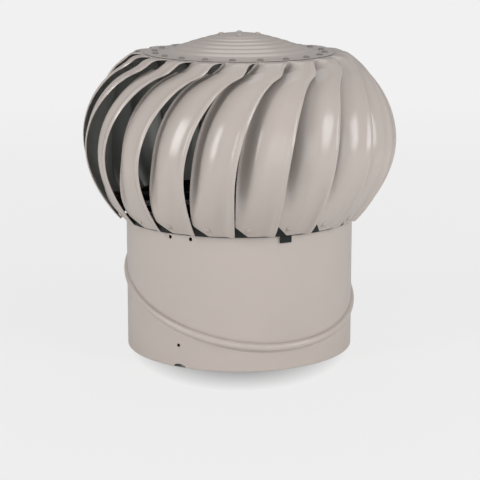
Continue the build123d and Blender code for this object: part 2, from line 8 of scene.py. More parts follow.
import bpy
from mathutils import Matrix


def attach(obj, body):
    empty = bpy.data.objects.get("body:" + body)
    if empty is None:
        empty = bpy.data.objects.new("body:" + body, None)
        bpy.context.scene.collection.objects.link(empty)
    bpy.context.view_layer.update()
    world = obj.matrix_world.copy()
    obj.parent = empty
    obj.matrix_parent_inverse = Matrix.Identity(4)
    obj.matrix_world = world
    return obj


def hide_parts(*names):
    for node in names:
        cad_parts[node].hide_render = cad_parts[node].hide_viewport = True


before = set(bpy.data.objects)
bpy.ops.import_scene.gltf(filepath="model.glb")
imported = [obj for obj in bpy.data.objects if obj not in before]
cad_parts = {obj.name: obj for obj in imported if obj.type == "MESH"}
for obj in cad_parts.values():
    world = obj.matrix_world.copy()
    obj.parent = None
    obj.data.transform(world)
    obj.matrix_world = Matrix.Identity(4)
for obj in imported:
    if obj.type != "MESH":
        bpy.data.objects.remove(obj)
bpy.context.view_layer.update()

import bmesh
import bpy
import numpy as np
from mathutils import Vector

# --- Lower throat -------------------------------------------------------------------------------
# Rolled tube of coil coated steel.  Its bottom edge is folded back inside as a hem, and its
# slanting mouth is rolled out into a bead and turned in to a flat flange that the upper throat
# turns on.

THROAT_RADIUS = 150.0
THROAT_SHEET = 0.8
THROAT_TOP = 196.0
HEM_HEIGHT = 24.0
MITRE_HEIGHT = 89.9
MITRE_LEAN = np.radians(20.0)
MITRE_AZIMUTH = np.radians(23.0)
SWIVEL_BORE = 142.0
BEAD_RADIUS = 4.5
BEAD_DROP = 0.6
BEAD_FILLET = 1.6
FLANGE_BEND = 0.8
WALL_FOOT = 4.0
NOTCH_AZIMUTH, NOTCH_WIDTH, NOTCH_DEPTH = np.radians(-30.5), 17.0, 3.0
NOTCH_CORNER = 1.2
FIXING_HOLE = (np.radians(-31.0), 29.0, 2.3)

PAINT = "#BFB5AE"
PAINT_SHADE = "#B9AFA8"


def linear(hex_colour):
    """Linear colour of an sRGB hex value: each channel over 255, with the sRGB curve undone."""
    channels = [int(hex_colour[place:place + 2], 16) / 255 for place in (1, 3, 5)]
    return [c / 12.92 if c <= 0.04045 else ((c + 0.055) / 1.055) ** 2.4 for c in channels] + [1.0]


def add_node(tree, kind, settings=None, inputs=None):
    """Adds a node with its settings.  An input takes a value or another node's output."""
    made = tree.nodes.new(kind)
    for name, value in (settings or {}).items():
        setattr(made, name, value)
    for name, value in (inputs or {}).items():
        if isinstance(value, bpy.types.NodeSocket):
            tree.links.new(value, made.inputs[name])
        else:
            made.inputs[name].default_value = value
    return made


def finish_material(name):
    """New material and its node tree, which is empty."""
    material = bpy.data.materials.new(name)
    material.use_nodes = True
    material.node_tree.nodes.clear()
    return material, material.node_tree


def coil_coated_steel(name, paint, shade, roughness):
    """Polyester paint, rolled onto steel strip and baked: satin and even, with a faint orange peel
    and the slow waves of thin sheet that make its highlights soft and a little uneven."""
    material, tree = finish_material(name)
    place = add_node(tree, "ShaderNodeTexCoord").outputs["Object"]
    # Slow change of shade over about 70 mm.
    drift = add_node(tree, "ShaderNodeTexNoise", inputs={
        "Vector": place, "Scale": 14.0, "Detail": 2.0})
    colour = add_node(tree, "ShaderNodeMix", {"data_type": "RGBA"}, {
        0: drift.outputs["Fac"], 6: linear(paint), 7: linear(shade)})
    # Orange peel is about 1 mm across; it is drawn at 2.5 mm so that it shows.
    peel = add_node(tree, "ShaderNodeTexNoise", inputs={
        "Vector": place, "Scale": 400.0, "Detail": 1.0})
    # Waves of the thin sheet, about 60 mm long.
    waves = add_node(tree, "ShaderNodeTexNoise", inputs={
        "Vector": place, "Scale": 16.0, "Detail": 1.0})
    wavy = add_node(tree, "ShaderNodeBump", inputs={
        "Strength": 0.25, "Distance": 0.0007, "Height": waves.outputs["Fac"]})
    surface = add_node(tree, "ShaderNodeBump", inputs={
        "Strength": 0.10, "Distance": 0.0001, "Height": peel.outputs["Fac"],
        "Normal": wavy.outputs["Normal"]})
    gloss = add_node(tree, "ShaderNodeMapRange", inputs={
        "Value": drift.outputs["Fac"], "To Min": roughness - 0.03, "To Max": roughness + 0.03})
    shader = add_node(tree, "ShaderNodeBsdfPrincipled", inputs={
        "Base Color": colour.outputs[2], "Roughness": gloss.outputs["Result"], "IOR": 1.5,
        "Normal": surface.outputs["Normal"]})
    add_node(tree, "ShaderNodeOutputMaterial", inputs={"Surface": shader.outputs["BSDF"]})
    return material


def dull_paint(name, colour, roughness):
    """Stoved paint or backing coat, sprayed on steel: dull, with a fine grain that breaks its
    shine."""
    material, tree = finish_material(name)
    place = add_node(tree, "ShaderNodeTexCoord").outputs["Object"]
    # Spray grain, about 2 mm.
    grain = add_node(tree, "ShaderNodeTexNoise", inputs={
        "Vector": place, "Scale": 500.0, "Detail": 2.0})
    surface = add_node(tree, "ShaderNodeBump", inputs={
        "Strength": 0.25, "Distance": 0.0002, "Height": grain.outputs["Fac"]})
    gloss = add_node(tree, "ShaderNodeMapRange", inputs={
        "Value": grain.outputs["Fac"], "To Min": roughness - 0.06, "To Max": roughness + 0.06})
    shader = add_node(tree, "ShaderNodeBsdfPrincipled", inputs={
        "Base Color": linear(colour), "Roughness": gloss.outputs["Result"], "IOR": 1.5,
        "Specular IOR Level": 0.2, "Normal": surface.outputs["Normal"]})
    add_node(tree, "ShaderNodeOutputMaterial", inputs={"Surface": shader.outputs["BSDF"]})
    return material


def ease(x):
    """Smooth step: 0 below 0, 1 above 1, and 3x^2 - 2x^3 between."""
    x = np.clip(x, 0.0, 1.0)
    return x * x * (3 - 2 * x)


def at(radius, azimuth, height):
    """Points at a radius, an azimuth in radians and a height, as one array."""
    radius, azimuth, height = np.broadcast_arrays(radius, azimuth, height)
    return np.stack([radius * np.sin(azimuth), -radius * np.cos(azimuth), height], axis=-1)


def grid_quads(rows, columns):
    """Corner numbers of the quads of a grid, counter-clockwise seen from outside when its rows go
    up and its columns go round towards a larger azimuth."""
    number = np.arange(rows * columns).reshape(rows, columns)
    corners = [number[:-1, :-1], number[:-1, 1:], number[1:, 1:], number[1:, :-1]]
    return np.stack(corners, axis=-1).reshape(-1, 4)


def grid(points):
    """Points of a grid with its quads."""
    return points, grid_quads(*points.shape[:2])


def joined(pairs):
    """Points and faces of one mesh from several pairs of points and faces."""
    points = [np.reshape(part, (-1, 3)) for part, _ in pairs]
    starts = np.cumsum([0] + [len(part) for part in points])
    faces = [part + start for (_, part), start in zip(pairs, starts)]
    return np.concatenate(points), np.concatenate(faces)


def mesh_piece(name, points, faces, finishes, sheet=0.0, crease=35.0, even=True, edge=0):
    """Object of points in mm and faces, with doubles merged so that seams and poles close.  A
    sheet's thickness goes inwards from its face, its back takes the last finish and its cut edge
    the one numbered edge.  Even thickness would run out to spikes at the folds of a tightly bent
    sheet, so such a sheet goes without it."""
    mesh = bpy.data.meshes.new(name)
    mesh.from_pydata((np.reshape(points, (-1, 3)) * 0.001).tolist(), [], np.asarray(faces).tolist())
    work = bmesh.new()
    work.from_mesh(mesh)
    bmesh.ops.remove_doubles(work, verts=work.verts, dist=1e-6)
    work.to_mesh(mesh)
    work.free()
    for finish in finishes:
        mesh.materials.append(finish)
    piece = bpy.data.objects.new(name, mesh)
    bpy.context.scene.collection.objects.link(piece)
    if sheet:
        wall = piece.modifiers.new("sheet", "SOLIDIFY")
        wall.thickness = sheet * 0.001
        wall.offset = -1.0
        wall.use_even_offset = even
        wall.material_offset = len(finishes) - 1
        wall.material_offset_rim = edge
        bpy.context.view_layer.update()
        solid = bpy.data.meshes.new_from_object(
            piece.evaluated_get(bpy.context.evaluated_depsgraph_get()))
        piece.modifiers.clear()
        piece.data = solid
        mesh = solid
    mesh.polygons.foreach_set("use_smooth", np.ones(len(mesh.polygons), dtype=bool))
    mesh.set_sharp_from_angle(angle=np.radians(crease))
    return piece


def punch(faces, u, v, hole, rim):
    """Puts a round hole through a grid of parameters u, v: the quads within a block round the hole
    go, and a band of quads joins the block's edge to the hole's rim.  rim(angle) gives u, v."""
    rows, columns = u.shape
    column = np.searchsorted(u[0], hole[0])
    row = np.searchsorted(v[:, column], hole[1])
    low_row, high_row, low_column, high_column = row - 2, row + 1, column - 2, column + 1
    number = np.arange(rows * columns).reshape(rows, columns)
    loop = np.concatenate([
        number[low_row, low_column:high_column], number[low_row:high_row, high_column],
        number[high_row, high_column:low_column:-1], number[high_row:low_row:-1, low_column]])
    gone = np.all((faces // columns >= low_row) & (faces // columns <= high_row)
                  & (faces % columns >= low_column) & (faces % columns <= high_column), axis=1)
    angle = np.arctan2(
        (v.ravel()[loop] - hole[1]) * hole[3], (u.ravel()[loop] - hole[0]) * hole[2])
    return faces[~gone], loop, rim(angle)


def mitre_height(azimuth, radius=THROAT_RADIUS, offset=0.0):
    """Height of the swivel plane at an azimuth and radius, offset along its normal."""
    fall = np.tan(MITRE_LEAN) * radius * np.cos(azimuth - MITRE_AZIMUTH)
    return MITRE_HEIGHT - fall + offset / np.cos(MITRE_LEAN)


def on_mitre(radius, turn, offset):
    """Points of a circle about the swivel's own axis, at an offset from the swivel plane."""
    across = at(np.cos(MITRE_LEAN), MITRE_AZIMUTH, -np.sin(MITRE_LEAN))
    side = at(1.0, MITRE_AZIMUTH + np.pi / 2, 0.0)
    normal = at(np.sin(MITRE_LEAN), MITRE_AZIMUTH, np.cos(MITRE_LEAN))
    centre = np.array([0.0, 0.0, MITRE_HEIGHT]) + np.multiply.outer(offset, normal)
    circle = np.multiply.outer(np.cos(turn), across) + np.multiply.outer(np.sin(turn), side)
    return centre + np.multiply(radius, 1.0)[..., None] * circle


def hole_rim(hole, height_to_v):
    """u, v round a drilled hole's rim, for the angle at which each place is seen from its
    centre."""
    azimuth, height, radius = hole

    def rim(angle):
        u = azimuth + radius * np.cos(angle) / THROAT_RADIUS
        return u, height_to_v(u, height + radius * np.sin(angle))
    return rim


def wall_with_holes(u, v, holes, to_point, height_to_v):
    """Points and faces of a tube's wall over parameters u (azimuth) and v, with its holes.
    holes are (azimuth, height, radius)."""
    faces = grid_quads(*u.shape)
    all_u, all_v = u.ravel(), v.ravel()
    for hole in holes:
        centre_v = height_to_v(hole[0], hole[1])
        scale_v = 1.0 / (height_to_v(hole[0], hole[1] + 1.0) - centre_v)
        faces, loop, (rim_u, rim_v) = punch(
            faces, u, v, (hole[0], centre_v, THROAT_RADIUS, scale_v),
            hole_rim(hole, height_to_v))
        start = len(all_u)
        ring = start + np.arange(len(loop))
        band = np.stack([loop, np.roll(loop, -1), np.roll(ring, -1), ring], axis=1)
        faces = np.concatenate([faces, band])
        all_u, all_v = np.concatenate([all_u, rim_u]), np.concatenate([all_v, rim_v])
    return to_point(all_u, all_v), faces


throat_paint = coil_coated_steel("coil_coated_throat", PAINT, PAINT_SHADE, 0.38)
# Near black coat for the throat's inside and the cap's underside and cut edge: painted shade for
# the unlit inside of the throat and the shadow under the cap's rim.
painted_shade_backing = dull_paint("dark_painted_shade_coat", "#2E2F2D", 0.6)

around = np.radians(np.linspace(-180.0, 180.0, 361))
from_notch = np.abs(around - NOTCH_AZIMUTH) * THROAT_RADIUS
lift = NOTCH_DEPTH * ease((NOTCH_WIDTH / 2 + NOTCH_CORNER / 2 - from_notch) / NOTCH_CORNER)


def bead_foot(azimuth):
    """Height at which the wall starts to run out into the bead."""
    return mitre_height(azimuth, offset=-2 * BEAD_RADIUS - BEAD_DROP - BEAD_FILLET)


def lower_wall_height(azimuth, share):
    """Height at a share of the way from the wall's foot to the bead's foot."""
    return WALL_FOOT + share * (bead_foot(azimuth) - WALL_FOOT)


def lower_wall_share(azimuth, height):
    """The share at which the wall has a height."""
    return (height - WALL_FOOT) / (bead_foot(azimuth) - WALL_FOOT)


# The wall, from just above the hem's fold up to the bead's foot, in steps of about 3 mm.
wall_u, wall_v = np.meshgrid(around, np.linspace(0.0, 1.0, 33))
wall_points, wall_faces = wall_with_holes(
    wall_u, wall_v, [FIXING_HOLE],
    lambda u, v: at(THROAT_RADIUS, u, lower_wall_height(u, v)), lower_wall_share)

# Hem: up inside, round the fold and up to the wall's foot.
fold = np.linspace(-np.pi / 2, np.pi / 2, 7)
hem_radii = np.concatenate([
    np.full(6, THROAT_RADIUS - 2 * THROAT_SHEET),
    THROAT_RADIUS - THROAT_SHEET + np.sin(fold) * THROAT_SHEET, [THROAT_RADIUS, THROAT_RADIUS]])
hem_heights = np.concatenate([
    np.linspace(HEM_HEIGHT, WALL_FOOT, 6), THROAT_SHEET * (1 - np.cos(fold)), [2.0, WALL_FOOT]])
# The notch lifts the fold, and each row above it by a smaller share, up to just under the wall.
hem_lift = np.concatenate([np.linspace(0, 1, 6), np.ones(7), [0.6, 0.0]])[:, None]
hem_room = np.maximum(WALL_FOOT - 0.4 - hem_heights[:, None], 0.0)
hem_points = at(
    hem_radii[:, None], around[None, :],
    hem_heights[:, None] + hem_lift * np.minimum(lift[None, :], hem_room))

# Bead and flange: profile points as (distance outside the wall's middle, offset from the plane).
turn = np.radians(np.linspace(-90.0, 90.0, 15))[1:-1]
bead_out = np.concatenate([[0.4, 0.55, 1.0], BEAD_RADIUS * np.cos(turn) ** 0.9, [0.8, 0.0]])
bead_bottom = -2 * BEAD_RADIUS
bead_offset = np.concatenate([
    [bead_bottom - BEAD_FILLET, bead_bottom - 0.7, bead_bottom - 0.1],
    -BEAD_RADIUS + BEAD_RADIUS * np.sin(turn), [-0.1, 0.35]]) - BEAD_DROP
wall_middle = THROAT_RADIUS - THROAT_SHEET / 2
bead_points = at(
    (wall_middle + bead_out)[:, None], around[None, :],
    mitre_height(around[None, :], wall_middle, bead_offset[:, None]))
flange_share = np.linspace(0.0, 1.0, 6)[1:, None, None]
swivel_turn = around - MITRE_AZIMUTH
flange_rim = on_mitre(np.full(len(around), SWIVEL_BORE), swivel_turn, np.zeros(len(around)))
flange_radius = wall_middle - FLANGE_BEND
flange_start = at(flange_radius, around, mitre_height(around, flange_radius, 0.0))
flange_points = flange_start[None] * (1 - flange_share) + flange_rim[None] * flange_share
mouth_points = np.concatenate([bead_points, flange_start[None], flange_points])

lower_throat = mesh_piece(
    "lower_throat_tube", *joined([grid(hem_points), (wall_points, wall_faces), grid(mouth_points)]),
    [throat_paint, painted_shade_backing], THROAT_SHEET, even=False)
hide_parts("lower_throat")
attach(lower_throat, "throat_base")

# --- Upper throat -------------------------------------------------------------------------------
# Second rolled tube of the same steel.  Its foot follows the slanting swivel plane, turns in to a
# flange, and goes through the lower flange in a short neck that is rolled over underneath.

SWIVEL_GAP = 0.3
HOOK_WIDTH = 4.0
SEAM_RISE, SEAM_INSET = 0.8, 0.5
UPPER_HOLES = [(np.radians(-35.5), 169.0, 2.5), (np.radians(-24.0), 169.0, 2.5)]


def seam_height(azimuth):
    """Height at which the wall starts, just above the swivel's seam."""
    return mitre_height(azimuth, offset=SWIVEL_GAP + SEAM_RISE)


def upper_wall_height(azimuth, share):
    """Height at a share of the way from the seam to the rim."""
    return seam_height(azimuth) + share * (THROAT_TOP - seam_height(azimuth))


def upper_wall_share(azimuth, height):
    """The share at which the wall has a height."""
    return (height - seam_height(azimuth)) / (THROAT_TOP - seam_height(azimuth))


wall_u, wall_v = np.meshgrid(around, np.linspace(0.0, 1.0, 41))
wall_points, wall_faces = wall_with_holes(
    wall_u, wall_v, UPPER_HOLES,
    lambda u, v: at(THROAT_RADIUS, u, upper_wall_height(u, v)), upper_wall_share)
neck_radius = SWIVEL_BORE - SWIVEL_GAP
hook_top = -THROAT_SHEET - SWIVEL_GAP
neck_rows = [
    (neck_radius + HOOK_WIDTH, hook_top), (neck_radius, hook_top), (neck_radius, SWIVEL_GAP)]
neck_points = np.stack([
    on_mitre(np.full(len(around), radius), swivel_turn, np.full(len(around), offset))
    for radius, offset in neck_rows] + [
    at(THROAT_RADIUS - SEAM_INSET, around, mitre_height(around, offset=SWIVEL_GAP)),
    at(THROAT_RADIUS, around, seam_height(around))])
upper_throat = mesh_piece(
    "upper_throat_tube", *joined([grid(neck_points), (wall_points, wall_faces)]),
    [throat_paint, painted_shade_backing], THROAT_SHEET)
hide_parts("upper_throat")
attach(upper_throat, "throat_top")

# --- Brackets, spindle and bearings -------------------------------------------------------------
# Zinc plated steel bars and fasteners bolt a fixed steel spindle across the throat's middle, and
# two ground steel ball bearings on it carry the head.


def zinc_plated_steel(name):
    """Bright zinc on steel, barrel plated: a grey metal with a dull, slightly blotched shine."""
    material, tree = finish_material(name)
    place = add_node(tree, "ShaderNodeTexCoord").outputs["Object"]
    # Plating blotches about 12 mm across.
    blotch = add_node(tree, "ShaderNodeTexNoise", inputs={
        "Vector": place, "Scale": 85.0, "Detail": 3.0})
    colour = add_node(tree, "ShaderNodeMix", {"data_type": "RGBA"}, {
        0: blotch.outputs["Fac"], 6: linear("#C4C6C6"), 7: linear("#A4A8AB")})
    gloss = add_node(tree, "ShaderNodeMapRange", inputs={
        "Value": blotch.outputs["Fac"], "To Min": 0.32, "To Max": 0.5})
    shader = add_node(tree, "ShaderNodeBsdfPrincipled", inputs={
        "Base Color": colour.outputs[2], "Metallic": 1.0, "Roughness": gloss.outputs["Result"]})
    add_node(tree, "ShaderNodeOutputMaterial", inputs={"Surface": shader.outputs["BSDF"]})
    return material


def ground_steel(name):
    """Bearing steel, ground: bright, with fine marks round it that blur its shine along them."""
    material, tree = finish_material(name)
    place = add_node(tree, "ShaderNodeTexCoord").outputs["Object"]
    # Grinding marks are far too fine to show; they are drawn about 0.7 mm apart up the spindle.
    stretched = add_node(tree, "ShaderNodeMapping", inputs={
        "Vector": place, "Scale": (40.0, 40.0, 1400.0)})
    marks = add_node(tree, "ShaderNodeTexNoise", inputs={
        "Vector": stretched.outputs["Vector"], "Scale": 1.0, "Detail": 2.0})
    gloss = add_node(tree, "ShaderNodeMapRange", inputs={
        "Value": marks.outputs["Fac"], "To Min": 0.16, "To Max": 0.34})
    shader = add_node(tree, "ShaderNodeBsdfPrincipled", inputs={
        "Base Color": linear("#C9C9C7"), "Metallic": 1.0, "Roughness": gloss.outputs["Result"]})
    add_node(tree, "ShaderNodeOutputMaterial", inputs={"Surface": shader.outputs["BSDF"]})
    return material


def finish_nodes(finish, *names):
    """Gives CAD nodes their finish."""
    for name in names:
        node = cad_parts[name]
        if not node.material_slots:
            node.data.materials.append(finish)
        for place in node.material_slots:
            place.material = finish


zinc_plate = zinc_plated_steel("zinc_plated_steel")
bearing_steel = ground_steel("ground_bearing_steel")
finish_nodes(zinc_plate, "lower_bracket", "upper_bracket", "bracket_rivets", "spindle_nuts",
             "spindle_washers", "spindle_collars", "bearing_cup", "lower_hub")
finish_nodes(
    bearing_steel, "spindle", "bearing_inner_races", "bearing_outer_races", "bearing_balls")

# --- Base ring and its clip ---------------------------------------------------------------------
# Dished band of black painted steel behind the blades' feet, joined by a strip riveted behind it
# whose tail hangs below.  Four black arms carry it from the lower bearing's hub.

HEAD_RADIUS = 207.4
BELLY_HEIGHT = 276.0
SHOULDER_RISE = 156.5
FOOT_DROP = 101.5 / np.sqrt(1 - (163.5 / HEAD_RADIUS) ** 2)
FOOT_HEIGHT = 176.0
SEAT_DEPTH = 8.0
BLADE_SHEET = 0.8
RING_SHEET = 1.2
RING_GAP = 0.05
RING_BOTTOM, RING_TOP = 174.5, 191.0
CLIP_AZIMUTH, CLIP_WIDTH, CLIP_SHEET = np.radians(22.5), 16.0, 1.2
CLIP_DROP, CLIP_RISE = 9.0, 6.0


def outline_lean(height):
    """Angle of the head's outline's normal above the horizontal, at a height."""
    rise = np.where(height > BELLY_HEIGHT, SHOULDER_RISE, FOOT_DROP)
    sine = (height - BELLY_HEIGHT) / rise
    return np.arctan(sine / np.sqrt(1 - sine ** 2) * HEAD_RADIUS / rise)


def foot_seat(height, depth=0.0):
    """Radius of the face that the blades' feet present, less a depth square to it."""
    sine = (height - BELLY_HEIGHT) / FOOT_DROP
    return HEAD_RADIUS * np.sqrt(1 - sine ** 2) - SEAT_DEPTH - depth / np.cos(outline_lean(height))


ring_paint = dull_paint("black_stoved_ring", "#202423", 0.55)
ring_face = BLADE_SHEET + RING_GAP
ring_heights = np.linspace(RING_BOTTOM, RING_TOP, 7)
ring_points = at(
    foot_seat(ring_heights, ring_face)[:, None], around[None, :], ring_heights[:, None])
base_ring = mesh_piece("base_ring_band", *grid(ring_points), [ring_paint], RING_SHEET)
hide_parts("base_ring")
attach(base_ring, "turbine_head")

clip_depth = ring_face + RING_SHEET + RING_GAP
clip_heights = np.concatenate([
    np.linspace(RING_BOTTOM - CLIP_DROP, RING_BOTTOM, 5),
    np.linspace(RING_BOTTOM, RING_BOTTOM + CLIP_RISE, 4)[1:]])
clip_radii = foot_seat(np.maximum(clip_heights, RING_BOTTOM), clip_depth)
clip_turn = CLIP_AZIMUTH + np.linspace(-0.5, 0.5, 9) * CLIP_WIDTH / foot_seat(RING_BOTTOM)
clip_points = at(clip_radii[:, None], clip_turn[None, :], clip_heights[:, None])
ring_clip = mesh_piece("ring_clip_strip", *grid(clip_points), [ring_paint], CLIP_SHEET)
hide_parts("ring_clip")
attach(ring_clip, "turbine_head")
finish_nodes(ring_paint, "spider_arm_1", "spider_arm_2", "spider_arm_3", "spider_arm_4")

# --- Blades -------------------------------------------------------------------------------------
# Twenty blades pressed from coil coated strip, beige outside and grey behind.  Each has an
# inner lip, a crowned face, a groove and a bead along its outer edge, a foot that lies flat on the
# base ring with its inner corner cut off, and a flat tab that goes under the cap's rim.

BLADE_COUNT = 20
FIRST_EDGE = -74.0
BLADE_PITCH = 360.0 / BLADE_COUNT
TAB_TOP = 390.0
TAB_TIP = 103.0
TAB_BEND = 1.2
CORNER_WIDTH, CORNER_HEIGHT = 16.0, 15.0
SEAT_HEIGHT = 193.5
FLATTENING = 6.5

# Latitudes up the outline, in degrees from the belly, with the blade's width there and how far its
# outer edge has leaned over, both in degrees about the spindle.
KINK_LATITUDE = 39.5
LATITUDES = [
    -37.3, -30.0, -20.0, -11.0, -2.0, 6.0, 15.0, 24.0, 33.0, 36.0, KINK_LATITUDE, 42.0, 45.0, 48.0,
    52.9, 60.2]
WIDTHS = [
    17.8, 17.7, 17.6, 17.5, 17.5, 17.6, 17.8, 18.2, 18.6, 18.7, 18.8, 18.7, 18.4, 17.7, 16.4, 14.5]
LEANS = [
    0.0, 0.1, 0.2, 0.4, 1.2, 2.5, 4.6, 8.0, 13.4, 16.4, 21.4, 22.9, 24.2, 26.6, 31.5, 37.0]

# Depth under the outline across the blade: lip, its fold, foot of the ramp, top of the ramp, crown,
# groove, bead, edge.
ACROSS = np.array([0.0, 0.05, 0.11, 0.27, 0.50, 0.83, 0.94, 1.0])
FOOT_DEPTHS = np.array([8.0, 8.0, 8.0, 8.0, 8.0, 7.2, 3.4, 4.2])
BELLY_DEPTHS = np.array([25.0, 26.5, 25.0, 14.0, 6.5, 2.8, 0.3, 0.7])
KINK_DEPTHS = np.array([21.0, 22.0, 21.0, 13.0, 5.0, 1.8, 0.6, 3.5])
TAB_DEPTHS = np.array([10.0, 10.2, 9.5, 5.5, 1.5, 0.5, 0.3, 1.0])


def outline(latitude):
    """Radius and height of the head's outline: two half ellipses that meet at the belly."""
    sine = np.sin(np.radians(latitude))
    rise = np.where(latitude > 0, SHOULDER_RISE, FOOT_DROP)
    return HEAD_RADIUS * np.cos(np.radians(latitude)), BELLY_HEIGHT + rise * sine


foot_latitude = np.degrees(np.arcsin((FOOT_HEIGHT - BELLY_HEIGHT) / FOOT_DROP))
seat_latitude = np.degrees(np.arcsin((SEAT_HEIGHT - BELLY_HEIGHT) / FOOT_DROP))
shoulder_latitude = np.degrees(np.arcsin((TAB_TOP - BELLY_HEIGHT) / SHOULDER_RISE))
tip_latitude = np.degrees(np.arccos(TAB_TIP / HEAD_RADIUS))


def smooth_through(x, places, values):
    """Smooth curve through values at places, by Hermite pieces whose slopes are the values' own.
    Each row of x may have its own row of values."""
    x, places = np.asarray(x), np.asarray(places)
    values = np.broadcast_to(values, (len(x), len(places)))
    slopes = np.gradient(values, places, axis=1)
    piece = np.clip(np.searchsorted(places, x, side="right") - 1, 0, len(places) - 2)
    row = np.arange(len(x)).reshape(-1, *[1] * (x.ndim - 1))
    length = places[piece + 1] - places[piece]
    t = (x - places[piece]) / length
    return (values[row, piece] * (1 + 2 * t) * (1 - t) ** 2
            + slopes[row, piece] * length * t * (1 - t) ** 2
            + values[row, piece + 1] * t ** 2 * (3 - 2 * t)
            - slopes[row, piece + 1] * length * t ** 2 * (1 - t))


def blade_face():
    """Outer face of a blade whose foot has its outer edge at azimuth 0, as radius, azimuth and
    height.  Each row has a latitude on the outline and each column a share of the width; a point
    lies under the outline by the depth of its share, blended by latitude between the foot, belly,
    kink and tab, and the tab is rounded over to a flat at its top."""
    latitude = np.concatenate([
        np.linspace(foot_latitude, -29.0, 9), np.linspace(-29.0, 31.0, 34)[1:],
        np.linspace(31.0, 54.0, 35)[1:], np.linspace(54.0, tip_latitude, 5)[1:]])[:, None]
    share = np.concatenate([
        np.linspace(0.0, 0.10, 9), np.linspace(0.10, 0.30, 8)[1:], np.linspace(0.30, 0.78, 13)[1:],
        np.linspace(0.78, 1.0, 19)[1:]])
    radius, height = outline(latitude)
    width = smooth_through(latitude, LATITUDES, WIDTHS)
    edge = smooth_through(latitude, LATITUDES, LEANS)
    cut = CORNER_WIDTH * np.clip(1 - (height - FOOT_HEIGHT) / CORNER_HEIGHT, 0, 1)
    least = np.degrees(cut / (radius - SEAT_DEPTH)) / width
    share = least + (1 - least) * share[None, :]
    down = ease(latitude / seat_latitude)
    up = np.sin(np.pi / 2 * np.clip(latitude / KINK_LATITUDE, 0, 1)) ** 2
    over = ease((latitude - KINK_LATITUDE) / (shoulder_latitude - KINK_LATITUDE))
    flat = ease((latitude - shoulder_latitude) / FLATTENING)
    knots = (BELLY_DEPTHS + (FOOT_DEPTHS - BELLY_DEPTHS) * down
             + (KINK_DEPTHS - BELLY_DEPTHS) * up)
    knots = (knots + (TAB_DEPTHS - knots) * over) * (1 - flat)
    depth = smooth_through(share, ACROSS, knots)
    lowered = height - depth * over
    height = TAB_TOP - TAB_BEND * np.logaddexp(0.0, (TAB_TOP - lowered) / TAB_BEND)
    return radius - depth, np.radians(edge - width * (1 - share)), height


blade_paint = coil_coated_steel("coil_coated_blade", PAINT, PAINT_SHADE, 0.24)
backing_coat = dull_paint("grey_backing_coat", "#8E908C", 0.5)
blade_radius, blade_azimuth, blade_height = blade_face()
blade_quads = grid_quads(*blade_radius.shape)
for index in range(BLADE_COUNT):
    turned = blade_azimuth + np.radians(FIRST_EDGE + BLADE_PITCH * index)
    blade = mesh_piece(
        f"pressed_blade_{index + 1:02d}", at(blade_radius, turned, blade_height), blade_quads,
        [blade_paint, backing_coat], BLADE_SHEET, even=False)
    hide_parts(f"blade_{index + 1:02d}")
    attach(blade, "turbine_head")

# --- Cap ----------------------------------------------------------------------------------------
# Shallow dome of the same sheet with pressed rings that stiffen it.  Its flat rim covers the
# blades' tabs; its underside and cut edge take the near black coat, the edge as painted shadow
# under the rim.

CAP_RADIUS = 125.0
CAP_SHEET = 0.8
CAP_RIM = 27.0
CAP_TOP = 416.6
CAP_PLACES = [0.0, 32.5, 45.5, 56.5, 67.5, 78.5, 90.5, 98.0, 104.0, 108.0, CAP_RADIUS]
CAP_FALLS = np.array([0.0, 4.3, 7.7, 10.8, 14.2, 18.0, 22.2, 24.6, 25.7, 25.8, 25.8])
RING_PITCH, RING_WAVE = 11.5, 0.28
RINGS_START, RINGS_END, RINGS_EASE = 33.0, 101.0, 4.0
FIRST_RING = 36.0

cap_flat = CAP_RADIUS - CAP_RIM
cap_rim_top = TAB_TOP + CAP_SHEET
cap_slope = CAP_FALLS[1] / CAP_PLACES[1]


def cap_height(radius):
    """Height of the cap's face: a dome through a few heights, with a slight wave at each ring."""
    radius = np.atleast_1d(radius)
    ringed = ease((radius - RINGS_START) / RINGS_EASE) * ease((RINGS_END - radius) / RINGS_EASE)
    wave = RING_WAVE * ringed * np.cos(2 * np.pi * (radius - FIRST_RING) / RING_PITCH)
    return smooth_through(radius, CAP_PLACES, CAP_TOP - CAP_FALLS) - wave


cap_radii = np.concatenate([
    [CAP_RADIUS, CAP_RADIUS - 0.3, CAP_RADIUS - 1.5],
    np.linspace(CAP_RADIUS - 5.0, cap_flat + 1, 5), np.linspace(cap_flat, 30.0, 120),
    np.linspace(30.0, 0.0, 12)[1:]])
cap_heights = cap_height(cap_radii)
# The rim's edge is eased over where it was cut.
cap_heights[:2] -= [0.25, 0.05]
cap_turn = np.radians(np.linspace(-180.0, 180.0, 145))
cap_points = at(cap_radii[:, None], cap_turn[None, :], cap_heights[:, None])
cap = mesh_piece(
    "pressed_cap", *grid(cap_points), [blade_paint, painted_shade_backing], CAP_SHEET, edge=1)
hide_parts("cap")
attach(cap, "turbine_head")

# --- Rivets -------------------------------------------------------------------------------------
# Blind rivets with domed heads: one at each foot and four round the top bearing's cup, painted to
# match; one at each tab through the cap's rim, in a darker grey; and four in the lower hub, zinc
# plated.

RIVET_HEAD, RIVET_DOME = 4.4, 2.0
RIVET_SHANK = 1.6
RIVET_TAIL, RIVET_TAIL_HEIGHT = 2.6, 1.0
RIVET_GAP = 0.08
FOOT_RIVET_HEIGHT, FOOT_RIVET_LEAD = 185.5, 12.0
CAP_RIVET_RADIUS, CAP_RIVET_LEAD = 111.6, 33.6
CUP_RIVET_RADIUS, CUP_RIVET_COUNT = 24.0, 4
CUP_WALL, CUP_GAP = 1.6, 0.1
HUB_RIVET_RADIUS, HUB_FLANGE_BOTTOM = 25.0, 201.0
ARM_EVERY, ARM_SHEET, ARM_GAP = 5, 1.6, 0.4


